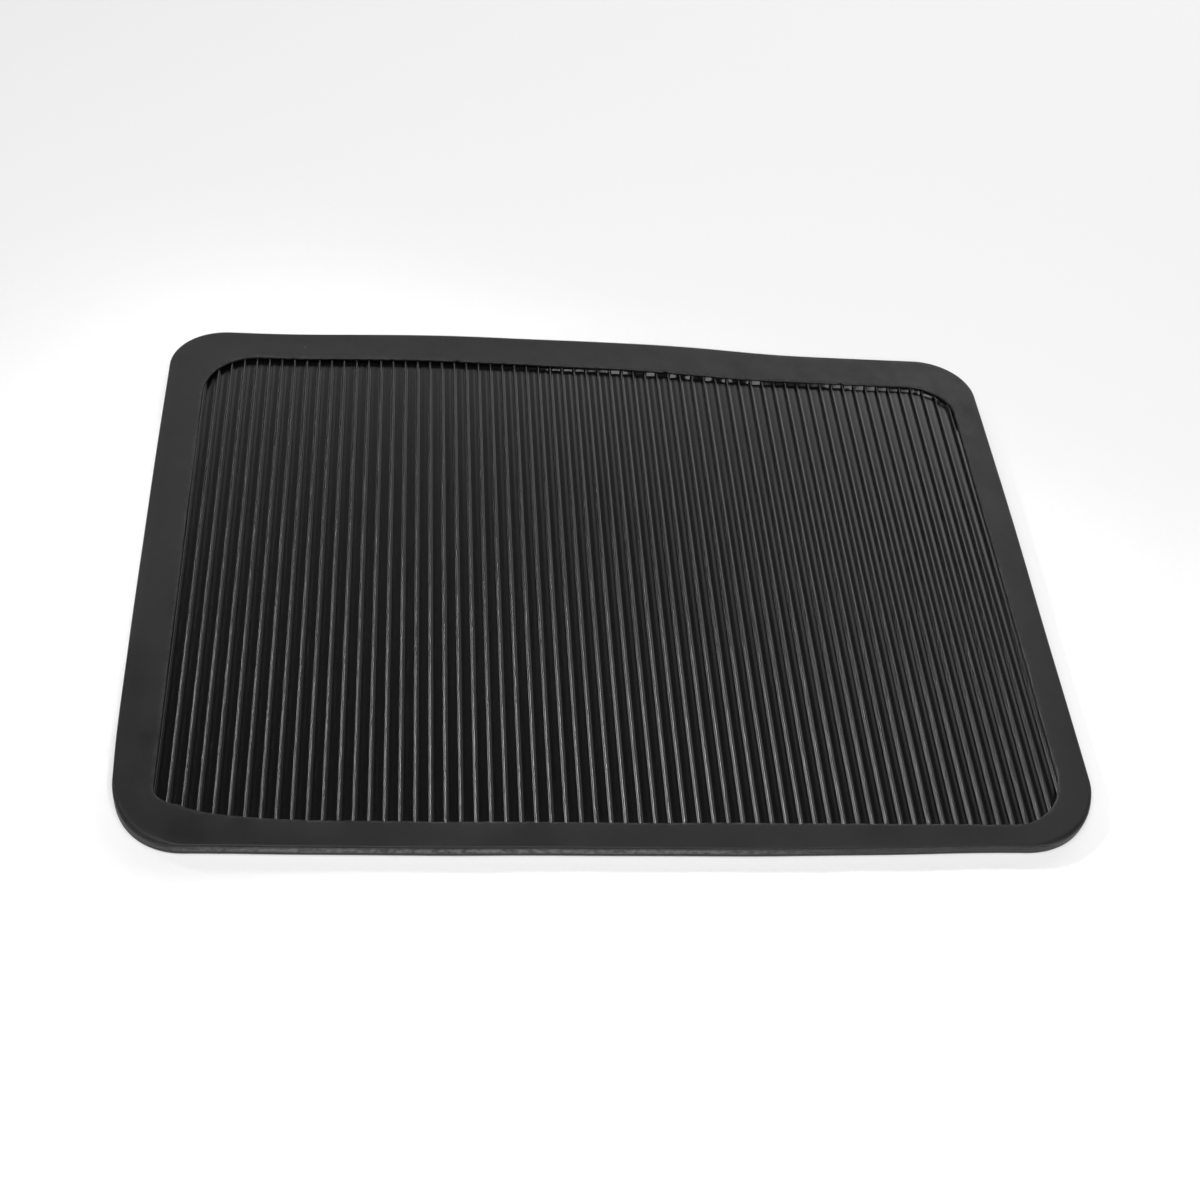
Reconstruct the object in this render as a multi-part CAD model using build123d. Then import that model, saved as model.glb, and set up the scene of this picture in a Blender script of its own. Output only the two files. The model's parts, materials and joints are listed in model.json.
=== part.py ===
from build123d import *
import os

# Seedling heat mat: a rubber border and a ribbed rubber sheet over a wire heating element.
# Millimetres. The origin is at the centre of the outline, on the surface that the mat lies on.
# +X runs along the long side, +Y points to the rear edge, which has the cord gland, and +Z is up.

# Outline of the mat
LENGTH = 533.4
DEPTH = 393.7
HEIGHT = 9.5
CORNER_RADIUS = 38.0
TOP_EDGE_RADIUS = 1.2
BOTTOM_EDGE_RADIUS = 1.6

# Widths of the border, from the outer wall to the lip round the ribbed field
BORDER_LEFT = 22.5
BORDER_RIGHT = 16.0
BORDER_FRONT = 16.0
BORDER_REAR = 25.0
FIELD_CORNER_RADIUS = 32.0
LIP_THICKNESS = 1.2
LIP_OVERLAP = 5.0
LIP_EDGE_RADIUS = 0.4
POCKET_CLEARANCE = 0.15

# Ribs, which run from front to rear
RIB_COUNT = 63
RIB_PITCH = 7.9375
RIB_MIDDLE_X = 2.2
RIB_HEIGHT = 2.0
RIB_CREST_WIDTH = 1.4
RIB_ROOT_WIDTH = 2.9

# Thicknesses of the layers, from the bottom up; the ribs stand on the web
BASE_THICKNESS = 2.6
FILM_THICKNESS = 0.1
FOIL_THICKNESS = 0.1
FOAM_THICKNESS = 1.7
TAPE_THICKNESS = 0.1
FILM_EDGE_INSET = 2.0
STACK_MARGIN = 2.0

# Heating wire: runs from front to rear, then one return run along the rear edge
RUN_COUNT = 24
RUN_PITCH = 20.0
RUN_FIRST_X = -230.0
RUN_FRONT_Y = -165.0
RUN_REAR_Y = 140.0
RETURN_RUN_Y = 156.0
RUN_BEND_RADIUS = 9.5
CONDUCTOR_RADIUS = 0.25
JACKET_RADIUS = 0.6
GROOVE_WIDTH = 1.4
GROOVE_DEPTH = 1.5
WIRE_DROP = 0.05
HEATER_END_Y = 168.0
HEATER_START_X = -160.0
HEATER_FINISH_X = -88.0
BARE_END = 2.0

# Cold joints between the heating wire and the leads
JOINT_BARREL_LENGTH = 6.0
JOINT_BARREL_RADIUS = 0.85
JOINT_BORE_RADIUS = 0.62
JOINT_SLOT_WIDTH = 2.4
JOINT_END_GAP = 0.2

# Strips of tape that hold the wire down
TAPE_WIDTH = 18.0
TAPE_Y = (-120.0, -40.0, 40.0, 120.0)
TAPE_END_INSET = 6.0

# Chamber in the rear of the border, for the splices and the cut-outs
CHAMBER_X = -130.0
CHAMBER_LENGTH = 120.0
CHAMBER_REAR_Y = 190.0
CHAMBER_ROOF_Z = 8.0
CHAMBER_CORNER_RADIUS = 3.0
PARTS_Z = 4.9
SPLICE_Y = 184.0

# Cord gland: a rubber bush with a flange inside the rear wall
GLAND_WIDTH = 12.0
GLAND_LOW_Z = 1.5
GLAND_HIGH_Z = 8.3
GLAND_CORNER_RADIUS = 2.0
GLAND_BORE_RADIUS = 2.5
GLAND_FLANGE_GROWTH = 3.0
GLAND_FLANGE_THICKNESS = 1.6
GLAND_CLEARANCE = 0.02
GLAND_FLANGE_GAP = 0.1
CORD_RELIEF = 1.0

# Splice cradle, its cover and the crimp barrels
CRADLE_LENGTH = 46.0
CRADLE_LOW_Y = 178.6
CRADLE_HIGH_Y = 188.0
CRADLE_WALL = 0.9
CRADLE_FLOOR = 0.6
CRADLE_TOP_Z = 7.0
COVER_THICKNESS = 0.6
COVER_TONGUE = 0.15
CRIMP_OFFSET_X = 14.0
CRIMP_LENGTH = 9.0
CRIMP_RADIUS = 1.5
CRIMP_BORE_RADIUS = 0.65
CRIMP_SLEEVE_LENGTH = 11.0
CRIMP_SLEEVE_BORE_RADIUS = 1.55
CRIMP_SLEEVE_RADIUS = 1.85
SADDLE_THICKNESS = 1.2
SADDLE_SPACING = 6.0
LEAD_SLOT_WIDTH = 1.6
CORE_SLOT_WIDTH = 7.0

# Bimetal thermostat in its glass-fibre sleeve
THERMOSTAT_X = -178.0
THERMOSTAT_Y = 182.5
THERMOSTAT_SIZE = (16.0, 7.0, 3.2)
THERMOSTAT_WALL = 0.5
THERMOSTAT_SEAL_LENGTH = 2.4
THERMOSTAT_LEAD_OFFSET = 1.5
BLADE_SIZE = (9.0, 4.0, 0.3)
BLADE_FOOT_LENGTH = 2.0
BLADE_HEIGHT = 0.6
SLEEVE_LENGTH = 18.0
SLEEVE_WALL = 0.4
SLEEVE_GAP = 0.1

# Thermal fuse in its sleeve
FUSE_X = -99.0
FUSE_LENGTH = 9.0
FUSE_RADIUS = 1.3
FUSE_EDGE_RADIUS = 0.4
FUSE_SLEEVE_LENGTH = 12.0
FUSE_SLEEVE_BORE_RADIUS = 1.4
FUSE_SLEEVE_RADIUS = 1.8

# Leads
LEAD_RADIUS = 0.6
LEAD_BEND_RADIUS = 1.5
LEAD_DROP_GAP = 0.4
CRIMP_ENTRY = 3.5

# Blank rating plate in the underside
PLATE_CENTRE = (150.0, -120.0)
PLATE_SIZE = (60.0, 30.0)
PLATE_CORNER_RADIUS = 3.0
PLATE_THICKNESS = 0.25
PLATE_RECESS_DEPTH = 0.3
PLATE_GAP = 0.2

# Levels worked out from the thicknesses
Z_BASE_TOP = BASE_THICKNESS
Z_BORDER = Z_BASE_TOP + FILM_THICKNESS
Z_FOAM = Z_BORDER + FOIL_THICKNESS
Z_TAPE = Z_FOAM + FOAM_THICKNESS
Z_SPREADER = Z_TAPE + TAPE_THICKNESS
Z_TOP_FILM = Z_SPREADER + FOIL_THICKNESS
Z_WEB = Z_TOP_FILM + FILM_THICKNESS
Z_CREST = HEIGHT - LIP_THICKNESS
Z_GROOVE = Z_CREST - RIB_HEIGHT
Z_WIRE = Z_TAPE - GROOVE_DEPTH / 2 - WIRE_DROP

# Places worked out from the outline
REAR_Y = DEPTH / 2
FIELD_LENGTH = LENGTH - BORDER_LEFT - BORDER_RIGHT
FIELD_DEPTH = DEPTH - BORDER_FRONT - BORDER_REAR
FIELD_X = (BORDER_LEFT - BORDER_RIGHT) / 2
FIELD_Y = (BORDER_FRONT - BORDER_REAR) / 2
FIELD_REAR_Y = FIELD_Y + FIELD_DEPTH / 2
POCKET_REAR_Y = FIELD_REAR_Y + LIP_OVERLAP + POCKET_CLEARANCE
LEAD_DROP_Y = POCKET_REAR_Y + LEAD_DROP_GAP
LEAD_END_Y = HEATER_END_Y + BARE_END + JOINT_END_GAP
RUN_LAST_X = RUN_FIRST_X + (RUN_COUNT - 1) * RUN_PITCH
LIVE_CRIMP_X = CHAMBER_X - CRIMP_OFFSET_X
NEUTRAL_CRIMP_X = CHAMBER_X + CRIMP_OFFSET_X


def mat_outline(inset=0.0):
    """The outline of the whole mat, drawn in by an inset."""
    return RectangleRounded(LENGTH - 2 * inset, DEPTH - 2 * inset, CORNER_RADIUS - inset)


def field_outline(margin=0.0):
    """The outline of the ribbed field, grown by a margin."""
    rectangle = RectangleRounded(
        FIELD_LENGTH + 2 * margin,
        FIELD_DEPTH + 2 * margin,
        FIELD_CORNER_RADIUS + margin,
    )
    return Pos(FIELD_X, FIELD_Y) * rectangle


def slab(outline, low_z, high_z):
    """A flat layer with the given outline between two levels."""
    return Pos(0, 0, low_z) * extrude(outline, high_z - low_z)


def block(low, high):
    """A box between its lowest and highest corners."""
    size = [b - a for a, b in zip(low, high)]
    centre = [(a + b) / 2 for a, b in zip(low, high)]
    return Pos(*centre) * Box(*size)


def rod_x(centre, length, radius):
    """A round bar along X about a centre point."""
    return Pos(*centre) * Rot(0, 90, 0) * Cylinder(radius, length)


def rod_y(centre, length, radius):
    """A round bar along Y about a centre point."""
    return Pos(*centre) * Rot(90, 0, 0) * Cylinder(radius, length)


def sweep_along(path, section):
    """A section swept along a level start of a path; the section's own X turns to point up."""
    start = Plane(origin=path @ 0, x_dir=(0, 0, 1), z_dir=path % 0)
    return sweep(start * section, path)


def lead(*points):
    """An insulated lead through the points, with small bends at the corners."""
    if len(points) == 2:
        path = Line(*points)
    else:
        path = FilletPolyline(*points, radius=LEAD_BEND_RADIUS)
    return sweep_along(path, Circle(LEAD_RADIUS))


def heater_path(end_y):
    """The heating wire's centre line; both its ends point to the rear and stop at end_y."""
    points = [
        (HEATER_START_X, end_y, Z_WIRE),
        (HEATER_START_X, RETURN_RUN_Y, Z_WIRE),
        (RUN_FIRST_X, RETURN_RUN_Y, Z_WIRE),
    ]
    for pair in range(RUN_COUNT // 2):
        down_x = RUN_FIRST_X + 2 * pair * RUN_PITCH
        up_x = down_x + RUN_PITCH
        if pair > 0:
            points.append((down_x, RUN_REAR_Y, Z_WIRE))
        points.append((down_x, RUN_FRONT_Y, Z_WIRE))
        points.append((up_x, RUN_FRONT_Y, Z_WIRE))
        if up_x < RUN_LAST_X:
            points.append((up_x, RUN_REAR_Y, Z_WIRE))
    points.append((RUN_LAST_X, RETURN_RUN_Y, Z_WIRE))
    points.append((HEATER_FINISH_X, RETURN_RUN_Y, Z_WIRE))
    points.append((HEATER_FINISH_X, end_y, Z_WIRE))
    bend = min(RUN_BEND_RADIUS, end_y - RETURN_RUN_Y - 0.5)
    radii = [bend] + [RUN_BEND_RADIUS] * (len(points) - 4) + [bend]
    return FilletPolyline(*points, radius=radii)


# ---- rubber body ----


def gland_section(growth=0.0):
    """The gland's section across the cord, in a plane that faces the rear."""
    width = GLAND_WIDTH + 2 * growth
    height = GLAND_HIGH_Z - GLAND_LOW_Z + 2 * growth
    centre = (CHAMBER_X, REAR_Y, (GLAND_LOW_Z + GLAND_HIGH_Z) / 2)
    plane = Plane(origin=centre, x_dir=(-1, 0, 0), z_dir=(0, 1, 0))
    return plane * RectangleRounded(width, height, GLAND_CORNER_RADIUS + growth)


def gland_flange(growth=0.0, relief=0.0):
    """The gland's flange, against the inner side of the rear wall; the relief makes it thicker."""
    half_width = GLAND_WIDTH / 2 + GLAND_FLANGE_GROWTH + growth
    front_y = CHAMBER_REAR_Y - GLAND_FLANGE_THICKNESS - relief
    return block(
        (CHAMBER_X - half_width, front_y, GLAND_LOW_Z - growth),
        (CHAMBER_X + half_width, CHAMBER_REAR_Y, CHAMBER_ROOF_Z - GLAND_FLANGE_GAP),
    )


def gland_hole():
    """What the gland, and the cord just inside it, take out of the border, film and base."""
    through = extrude(gland_section(GLAND_CLEARANCE), REAR_Y - CHAMBER_REAR_Y, both=True)
    return through + gland_flange(GLAND_CLEARANCE, CORD_RELIEF)


def chamber():
    """The hollow in the rear of the border."""
    depth = CHAMBER_REAR_Y - POCKET_REAR_Y + 2 * CHAMBER_CORNER_RADIUS
    outline = RectangleRounded(CHAMBER_LENGTH, depth, CHAMBER_CORNER_RADIUS)
    return slab(Pos(CHAMBER_X, CHAMBER_REAR_Y - depth / 2) * outline, Z_BORDER, CHAMBER_ROOF_Z)


def border_frame():
    """The flat border: a ring whose lip covers the edge of the ribbed sheet."""
    ring = slab(mat_outline(), Z_BORDER, HEIGHT)
    ring = fillet(ring.edges().group_by(Axis.Z)[-1], TOP_EDGE_RADIUS)
    ring -= slab(field_outline(), Z_BORDER, HEIGHT)
    top_face = ring.faces().sort_by(Axis.Z)[-1]
    ring = fillet(top_face.inner_wires()[0].edges(), LIP_EDGE_RADIUS)
    ring -= slab(field_outline(LIP_OVERLAP + POCKET_CLEARANCE), Z_BORDER, Z_CREST)
    ring -= chamber()
    return ring - gland_hole()


def ribbed_sheet():
    """The sheet of ribs on a web; its edge runs under the border's lip."""
    first_x = RIB_MIDDLE_X - (RIB_COUNT - 1) / 2 * RIB_PITCH
    edge_x = FIELD_LENGTH
    profile = [(-edge_x, Z_WEB), (-edge_x, Z_GROOVE)]
    for index in range(RIB_COUNT):
        x = first_x + index * RIB_PITCH
        profile.append((x - RIB_ROOT_WIDTH / 2, Z_GROOVE))
        profile.append((x - RIB_CREST_WIDTH / 2, Z_CREST))
        profile.append((x + RIB_CREST_WIDTH / 2, Z_CREST))
        profile.append((x + RIB_ROOT_WIDTH / 2, Z_GROOVE))
    profile += [(edge_x, Z_GROOVE), (edge_x, Z_WEB)]
    section = Plane.XZ * make_face(Polyline(*profile, close=True))
    sheet = extrude(section, DEPTH / 2, both=True)
    return sheet & slab(field_outline(LIP_OVERLAP), Z_WEB, Z_CREST)


def base_sheet():
    """The smooth sheet under everything, with recesses for the gland and the rating plate."""
    sheet = slab(mat_outline(), 0.0, Z_BASE_TOP)
    sheet = fillet(sheet.edges().group_by(Axis.Z)[0], BOTTOM_EDGE_RADIUS)
    recess = Pos(*PLATE_CENTRE) * RectangleRounded(*PLATE_SIZE, PLATE_CORNER_RADIUS)
    sheet -= slab(recess, 0.0, PLATE_RECESS_DEPTH)
    return sheet - gland_hole()


def base_bond_film():
    """The adhesive that joins the base to the border and to the reflector."""
    film = slab(mat_outline(FILM_EDGE_INSET), Z_BASE_TOP, Z_BORDER)
    return film - gland_hole()


def rating_plate():
    """A blank plate in the underside's recess."""
    outline = RectangleRounded(
        PLATE_SIZE[0] - PLATE_GAP,
        PLATE_SIZE[1] - PLATE_GAP,
        PLATE_CORNER_RADIUS - PLATE_GAP / 2,
    )
    return slab(Pos(*PLATE_CENTRE) * outline, PLATE_RECESS_DEPTH - PLATE_THICKNESS, PLATE_RECESS_DEPTH)


def cord_gland():
    """The rubber bush for the cord, with its flange inside the chamber."""
    body = extrude(gland_section(), CHAMBER_REAR_Y - REAR_Y)
    body += gland_flange()
    bore_z = (GLAND_LOW_Z + GLAND_HIGH_Z) / 2
    return body - rod_y((CHAMBER_X, REAR_Y, bore_z), 4 * GLAND_WIDTH, GLAND_BORE_RADIUS)


# ---- heating pack ----


def joint_slots():
    """Two slots through the rear edge of the foam, for the cold joints."""
    low_y = HEATER_END_Y - JOINT_BARREL_LENGTH / 2 - JOINT_END_GAP
    slots = [
        block(
            (x - JOINT_SLOT_WIDTH / 2, low_y, Z_FOAM),
            (x + JOINT_SLOT_WIDTH / 2, POCKET_REAR_Y, Z_TAPE),
        )
        for x in (HEATER_START_X, HEATER_FINISH_X)
    ]
    return slots[0] + slots[1]


def insulation_foam():
    """The foam pad, with a groove for the heating wire in its top."""
    pad = slab(field_outline(STACK_MARGIN), Z_FOAM, Z_TAPE)
    groove = sweep_along(heater_path(HEATER_END_Y), Rectangle(GROOVE_DEPTH, GROOVE_WIDTH))
    return pad - Pos(0, 0, Z_TAPE - GROOVE_DEPTH / 2 - Z_WIRE) * groove - joint_slots()


def heater_jacket():
    """The heating wire's silicone rubber jacket."""
    section = Circle(JACKET_RADIUS) - Circle(CONDUCTOR_RADIUS)
    return sweep_along(heater_path(HEATER_END_Y), section)


def heater_conductor():
    """The resistance conductor; its bare ends reach into the cold joints."""
    return sweep_along(heater_path(HEATER_END_Y + BARE_END), Circle(CONDUCTOR_RADIUS))


def hold_down_tapes():
    """Strips of glass cloth tape across the wire's runs."""
    length = FIELD_LENGTH - 2 * TAPE_END_INSET
    return Compound([
        Pos(FIELD_X, y, Z_TAPE + TAPE_THICKNESS / 2) * Box(length, TAPE_WIDTH, TAPE_THICKNESS)
        for y in TAPE_Y
    ])


def cold_joint_barrels():
    """Two small barrels that join the heating wire to the leads."""
    centre_y = HEATER_END_Y + BARE_END / 2
    return Compound([
        rod_y((x, centre_y, Z_WIRE), JOINT_BARREL_LENGTH, JOINT_BARREL_RADIUS)
        - rod_y((x, centre_y, Z_WIRE), JOINT_BARREL_LENGTH + 1.0, JOINT_BORE_RADIUS)
        for x in (HEATER_START_X, HEATER_FINISH_X)
    ])


# ---- splices and cut-outs in the chamber ----


def crimp_tubes(length, radius, bore_radius):
    """A hollow tube at each of the two splices, live and neutral."""
    return [
        rod_x((x, SPLICE_Y, PARTS_Z), length, radius)
        - rod_x((x, SPLICE_Y, PARTS_Z), length + 1.0, bore_radius)
        for x in (LIVE_CRIMP_X, NEUTRAL_CRIMP_X)
    ]


def splice_cradle():
    """The moulded tray that holds the two splices on saddles."""
    low = (CHAMBER_X - CRADLE_LENGTH / 2, CRADLE_LOW_Y, Z_BORDER)
    high = (CHAMBER_X + CRADLE_LENGTH / 2, CRADLE_HIGH_Y, CRADLE_TOP_Z)
    tray = block(low, high)
    inside_low = (low[0] + CRADLE_WALL, low[1] + CRADLE_WALL, low[2] + CRADLE_FLOOR)
    inside_high = (high[0] - CRADLE_WALL, high[1] - CRADLE_WALL, high[2] + 1.0)
    tray -= block(inside_low, inside_high)
    for crimp_x in (LIVE_CRIMP_X, NEUTRAL_CRIMP_X):
        for side in (-0.5, 0.5):
            x = crimp_x + side * SADDLE_SPACING
            tray += block(
                (x - SADDLE_THICKNESS / 2, inside_low[1] - 0.1, inside_low[2] - 0.1),
                (x + SADDLE_THICKNESS / 2, inside_high[1] + 0.1, PARTS_Z),
            )
    tray -= rod_x((CHAMBER_X, SPLICE_Y, PARTS_Z), CRADLE_LENGTH - 2 * CRADLE_WALL, CRIMP_SLEEVE_RADIUS)
    lead_slot = block(
        (low[0] - 1.0, SPLICE_Y - LEAD_SLOT_WIDTH / 2, PARTS_Z - LEAD_SLOT_WIDTH / 2),
        (high[0] + 1.0, SPLICE_Y + LEAD_SLOT_WIDTH / 2, CRADLE_TOP_Z + 1.0),
    )
    core_slot = block(
        (CHAMBER_X - CORE_SLOT_WIDTH / 2, SPLICE_Y, inside_low[2]),
        (CHAMBER_X + CORE_SLOT_WIDTH / 2, high[1] + 1.0, CRADLE_TOP_Z + 1.0),
    )
    return tray - lead_slot - core_slot


def splice_cover():
    """The cradle's flat lid, with a tongue that sits inside the walls."""
    low = (CHAMBER_X - CRADLE_LENGTH / 2, CRADLE_LOW_Y, CRADLE_TOP_Z)
    high = (CHAMBER_X + CRADLE_LENGTH / 2, CRADLE_HIGH_Y, CRADLE_TOP_Z + COVER_THICKNESS)
    tongue_inset = CRADLE_WALL + 0.1
    tongue = block(
        (low[0] + tongue_inset, low[1] + tongue_inset, CRADLE_TOP_Z - COVER_TONGUE),
        (high[0] - tongue_inset, high[1] - tongue_inset, CRADLE_TOP_Z),
    )
    return block(low, high) + tongue


def thermostat_box(growth, length_growth=0.0):
    """A box about the thermostat's centre, larger than its case by a growth on each side."""
    length, width, height = THERMOSTAT_SIZE
    size = (length + 2 * length_growth, width + 2 * growth, height + 2 * growth)
    return Pos(THERMOSTAT_X, THERMOSTAT_Y, PARTS_Z) * Box(*size)


def thermostat_cavity():
    """The inside of the thermostat's case, open at its inner end."""
    length, width, height = THERMOSTAT_SIZE
    low_x = THERMOSTAT_X - length / 2 + THERMOSTAT_WALL
    half_width = width / 2 - THERMOSTAT_WALL
    half_height = height / 2 - THERMOSTAT_WALL
    return block(
        (low_x, THERMOSTAT_Y - half_width, PARTS_Z - half_height),
        (THERMOSTAT_X + length / 2, THERMOSTAT_Y + half_width, PARTS_Z + half_height),
    )


def thermostat_case():
    """The pressed steel case, open at one end."""
    case = fillet(thermostat_box(0.0).edges().filter_by(Axis.X), THERMOSTAT_WALL)
    return case - thermostat_cavity()


def thermostat_leads():
    """The thermostat's two leads: one to the live splice and one to the heating wire."""
    end_x = THERMOSTAT_X + THERMOSTAT_SIZE[0] / 2 - THERMOSTAT_SEAL_LENGTH
    live = lead(
        (end_x, THERMOSTAT_Y + THERMOSTAT_LEAD_OFFSET, PARTS_Z),
        (LIVE_CRIMP_X - CRIMP_LENGTH / 2 + CRIMP_ENTRY, SPLICE_Y, PARTS_Z),
    )
    heater_side_y = THERMOSTAT_Y - THERMOSTAT_LEAD_OFFSET
    heater = lead(
        (end_x, heater_side_y, PARTS_Z),
        (HEATER_START_X, heater_side_y, PARTS_Z),
        (HEATER_START_X, LEAD_DROP_Y, Z_WIRE),
        (HEATER_START_X, LEAD_END_Y, Z_WIRE),
    )
    return live, heater


def thermostat_end_seal():
    """The plug that closes the case round the two leads."""
    length = THERMOSTAT_SIZE[0]
    mouth_x = THERMOSTAT_X + length / 2
    behind = block(
        (THERMOSTAT_X - length, THERMOSTAT_Y - length, 0.0),
        (mouth_x - THERMOSTAT_SEAL_LENGTH, THERMOSTAT_Y + length, HEIGHT),
    )
    seal = thermostat_cavity() - behind
    for side in (-1, 1):
        y = THERMOSTAT_Y + side * THERMOSTAT_LEAD_OFFSET
        seal -= rod_x((mouth_x, y, PARTS_Z), length, LEAD_RADIUS)
    return seal


def thermostat_blade():
    """The bimetal blade, on a foot at the bottom of the case."""
    length, width, thickness = BLADE_SIZE
    floor_z = PARTS_Z - THERMOSTAT_SIZE[2] / 2 + THERMOSTAT_WALL
    low_x = THERMOSTAT_X - THERMOSTAT_SIZE[0] / 2 + THERMOSTAT_WALL + 0.5
    blade = block(
        (low_x, THERMOSTAT_Y - width / 2, floor_z + BLADE_HEIGHT),
        (low_x + length, THERMOSTAT_Y + width / 2, floor_z + BLADE_HEIGHT + thickness),
    )
    foot = block(
        (low_x, THERMOSTAT_Y - width / 2, floor_z),
        (low_x + BLADE_FOOT_LENGTH, THERMOSTAT_Y + width / 2, floor_z + BLADE_HEIGHT),
    )
    return blade + foot


def thermostat_sleeve():
    """The glass-fibre sleeve round the thermostat's case, open at both ends."""
    length_growth = (SLEEVE_LENGTH - THERMOSTAT_SIZE[0]) / 2
    tube = thermostat_box(SLEEVE_GAP + SLEEVE_WALL, length_growth)
    return tube - thermostat_box(SLEEVE_GAP, length_growth + 1.0)


def fuse_tube(length, radius):
    """A round bar about the fuse's centre."""
    return rod_x((FUSE_X, SPLICE_Y, PARTS_Z), length, radius)


def thermal_fuse():
    """The fuse's body, with rounded ends."""
    body = fuse_tube(FUSE_LENGTH, FUSE_RADIUS)
    return fillet(body.edges().filter_by(GeomType.CIRCLE), FUSE_EDGE_RADIUS)


def fuse_sleeve():
    """The glass-fibre sleeve round the fuse, open at both ends."""
    outer = fuse_tube(FUSE_SLEEVE_LENGTH, FUSE_SLEEVE_RADIUS)
    return outer - fuse_tube(FUSE_SLEEVE_LENGTH + 1.0, FUSE_SLEEVE_BORE_RADIUS)


def fuse_leads():
    """The fuse's two leads: one to the neutral splice and one to the heating wire."""
    splice = lead(
        (NEUTRAL_CRIMP_X + CRIMP_LENGTH / 2 - CRIMP_ENTRY, SPLICE_Y, PARTS_Z),
        (FUSE_X - FUSE_LENGTH / 2, SPLICE_Y, PARTS_Z),
    )
    heater = lead(
        (FUSE_X + FUSE_LENGTH / 2, SPLICE_Y, PARTS_Z),
        (HEATER_FINISH_X, SPLICE_Y, PARTS_Z),
        (HEATER_FINISH_X, LEAD_DROP_Y, Z_WIRE),
        (HEATER_FINISH_X, LEAD_END_Y, Z_WIRE),
    )
    return splice, heater


def build():
    """Every node of the mat, by name."""
    live_crimp, neutral_crimp = crimp_tubes(CRIMP_LENGTH, CRIMP_RADIUS, CRIMP_BORE_RADIUS)
    thermostat_splice_lead, thermostat_heater_lead = thermostat_leads()
    fuse_splice_lead, fuse_heater_lead = fuse_leads()
    stack = field_outline(STACK_MARGIN)
    return {
        "border_frame": border_frame(),
        "ribbed_sheet": ribbed_sheet(),
        "base_sheet": base_sheet(),
        "rating_plate": rating_plate(),
        "cord_gland": cord_gland(),
        "base_bond_film": base_bond_film(),
        "reflector_foil": slab(stack, Z_BORDER, Z_FOAM),
        "insulation_foam": insulation_foam(),
        "heater_conductor": heater_conductor(),
        "heater_jacket": heater_jacket(),
        "hold_down_tapes": hold_down_tapes(),
        "heat_spreader_foil": slab(stack, Z_SPREADER, Z_TOP_FILM),
        "top_bond_film": slab(stack, Z_TOP_FILM, Z_WEB),
        "cold_joint_barrels": cold_joint_barrels(),
        "thermostat_case": thermostat_case(),
        "thermostat_end_seal": thermostat_end_seal(),
        "thermostat_blade": thermostat_blade(),
        "thermostat_sleeve": thermostat_sleeve(),
        "thermostat_splice_lead": thermostat_splice_lead,
        "thermostat_heater_lead": thermostat_heater_lead,
        "thermal_fuse": thermal_fuse(),
        "fuse_sleeve": fuse_sleeve(),
        "fuse_splice_lead": fuse_splice_lead,
        "fuse_heater_lead": fuse_heater_lead,
        "live_crimp": live_crimp,
        "neutral_crimp": neutral_crimp,
        "crimp_sleeves": Compound(
            crimp_tubes(CRIMP_SLEEVE_LENGTH, CRIMP_SLEEVE_RADIUS, CRIMP_SLEEVE_BORE_RADIUS)
        ),
        "splice_cradle": splice_cradle(),
        "splice_cover": splice_cover(),
    }


os.makedirs("parts", exist_ok=True)
for node, shape in build().items():
    export_step(shape, f"parts/{node}.step")
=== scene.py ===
import json
import math

import bpy
import numpy as np
from mathutils import Matrix, Vector


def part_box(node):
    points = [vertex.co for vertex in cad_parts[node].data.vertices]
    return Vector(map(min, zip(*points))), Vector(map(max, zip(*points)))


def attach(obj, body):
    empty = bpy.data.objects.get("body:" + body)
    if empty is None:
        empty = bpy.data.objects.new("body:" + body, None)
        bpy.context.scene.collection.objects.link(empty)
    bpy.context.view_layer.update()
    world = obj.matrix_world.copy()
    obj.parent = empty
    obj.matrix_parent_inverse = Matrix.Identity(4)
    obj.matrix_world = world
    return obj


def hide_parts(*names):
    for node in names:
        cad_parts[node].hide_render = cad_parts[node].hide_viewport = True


# Looks for the seedling heat mat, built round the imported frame. Metres, +Z up, like the frame.

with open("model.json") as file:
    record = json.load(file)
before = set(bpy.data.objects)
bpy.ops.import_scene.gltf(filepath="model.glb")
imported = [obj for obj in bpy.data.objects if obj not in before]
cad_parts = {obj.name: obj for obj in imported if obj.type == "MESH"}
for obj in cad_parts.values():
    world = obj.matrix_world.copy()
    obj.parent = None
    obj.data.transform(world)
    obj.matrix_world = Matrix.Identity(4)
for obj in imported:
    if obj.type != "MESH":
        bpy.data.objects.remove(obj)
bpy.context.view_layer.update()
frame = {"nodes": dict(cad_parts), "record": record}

MM = 0.001

# ---- where things are, from the frame ----

border_low, border_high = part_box("border_frame")
sheet_low, sheet_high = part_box("ribbed_sheet")
base_low, base_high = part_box("base_sheet")
gland_low, gland_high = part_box("cord_gland")
plate_low, plate_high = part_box("rating_plate")
film_low, film_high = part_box("base_bond_film")
gland_middle = (gland_low + gland_high) / 2

LIP_OVERLAP = 5.0 * MM
SHEET_RADIUS = 37.0 * MM
TOP_Z = border_high.z
CREST_Z = sheet_high.z
RIB_HEIGHT = 2.0 * MM
GROOVE_Z = CREST_Z - RIB_HEIGHT
SEAM_Z = border_low.z

# Ribs
RIB_COUNT = 63
RIB_PITCH = 7.9375 * MM
RIB_MIDDLE_X = 2.2 * MM
FIRST_RIB_X = RIB_MIDDLE_X - (RIB_COUNT - 1) / 2 * RIB_PITCH

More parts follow.
